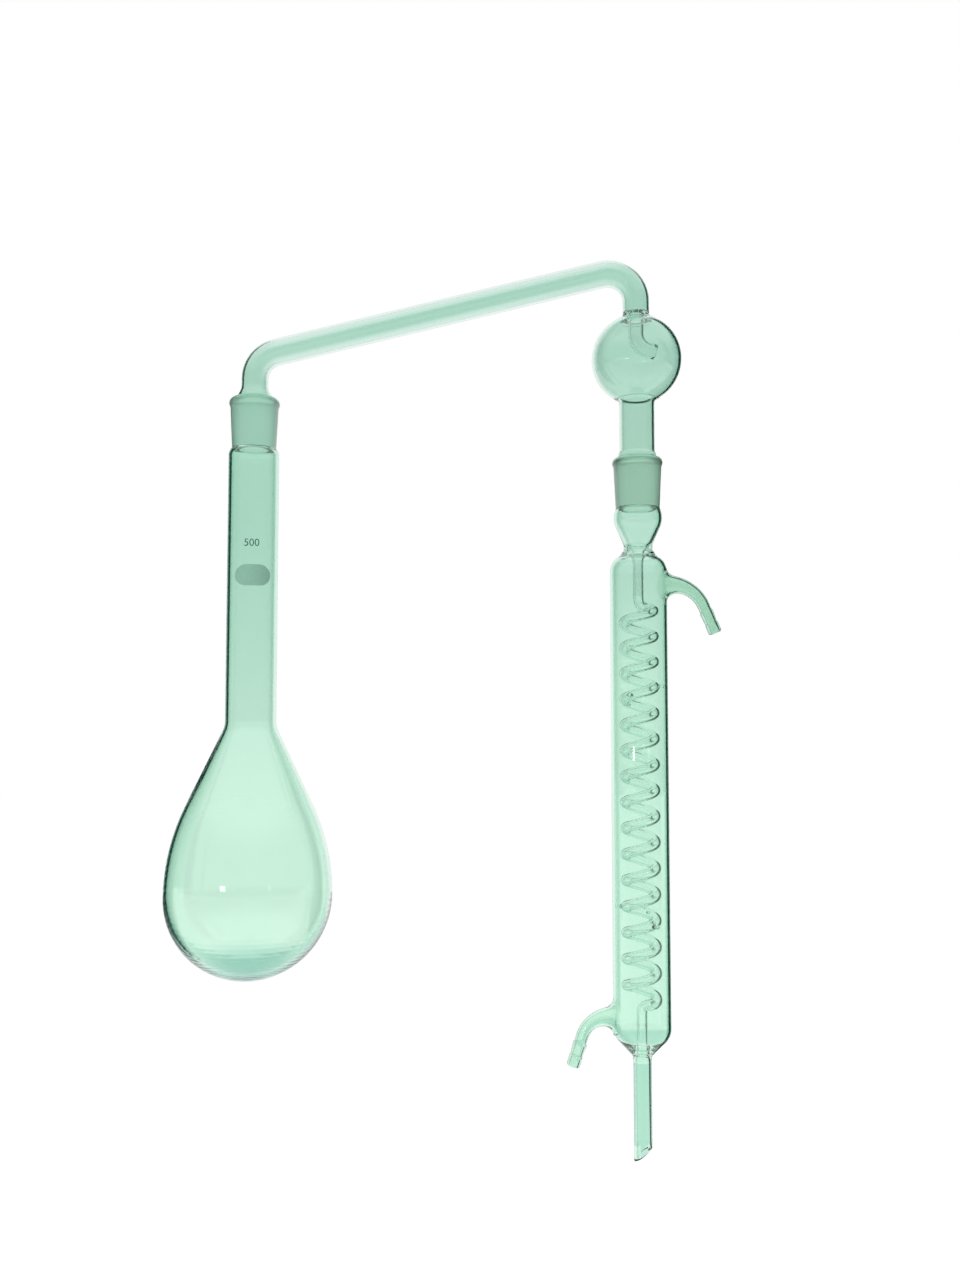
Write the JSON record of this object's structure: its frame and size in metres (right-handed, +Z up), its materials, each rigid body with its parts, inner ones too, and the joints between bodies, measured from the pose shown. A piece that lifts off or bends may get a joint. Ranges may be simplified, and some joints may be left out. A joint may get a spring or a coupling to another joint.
{
  "type": "kjeldahl distillation apparatus",
  "caption": "All-glass distillation apparatus: pear flask with a long neck, sloping vapour tube with a splash bulb, and a coil condenser with water arms and a slanted drip tube.",
  "frame": {"origin": "on the condenser's axis, in the middle of the place where a stand's clamp grips the jacket, 142.2 mm above its lower seal", "axes": "+Z is up along the condenser's axis, the flask's axis is at -X, and the writing patch on its neck faces -Y, turned 11 degrees towards +X"},
  "size_m": [0.3205, 0.0954, 0.5202],
  "materials": {
    "clear_glass": "polished, faintly mint green",
    "pale_glass": "polished, very pale mint green",
    "ground_glass": "finely ground, matt on the tapers",
    "enamel": "fired matt enamel",
    "joint_film": "thin translucent film of grease or water"
  },
  "bodies": {
    "condenser": {"condenser_socket": "ground_glass", "condenser_neck": "clear_glass", "jacket": "pale_glass", "coil_feed_tube": "clear_glass", "coil": "clear_glass", "coil_drain_tube": "clear_glass", "upper_coil_pips": "clear_glass", "lower_coil_pips": "clear_glass", "water_outlet_arm": "clear_glass", "water_outlet_nozzle": "clear_glass", "water_inlet_arm": "clear_glass", "water_inlet_nozzle": "clear_glass", "drip_tube": "clear_glass"},
    "condenser_film": {"condenser_joint_film": "joint_film"},
    "connecting_head": {"inlet_cone": "ground_glass", "vapour_tube": "clear_glass", "splash_bulb": "clear_glass", "delivery_tube": "clear_glass", "bulb_stem": "clear_glass", "outlet_cone": "ground_glass"},
    "flask_film": {"flask_joint_film": "joint_film"},
    "flask": {"flask_base": "pale_glass", "flask_bulb": "pale_glass", "flask_cone": "pale_glass", "flask_neck": "clear_glass", "flask_socket": "ground_glass", "writing_patch": "enamel"}
  },
  "joints": [
    {"name": "head_turn", "type": "hinge", "parent": "condenser", "child": "condenser_film", "pos_m": [0, 0, 0.17128], "axis": [0, 0, 1], "continuous": true},
    {"name": "head_lift", "type": "slide", "parent": "condenser_film", "child": "connecting_head", "axis": [0, 0, 1], "range_m": [0, 0.06]},
    {"name": "flask_turn", "type": "hinge", "parent": "connecting_head", "child": "flask_film", "pos_m": [-0.225, 0, 0.20659], "axis": [0, 0, 1], "continuous": true},
    {"name": "flask_drop", "type": "slide", "parent": "flask_film", "child": "flask", "axis": [0, 0, -1], "range_m": [0, 0.06]}
  ]
}
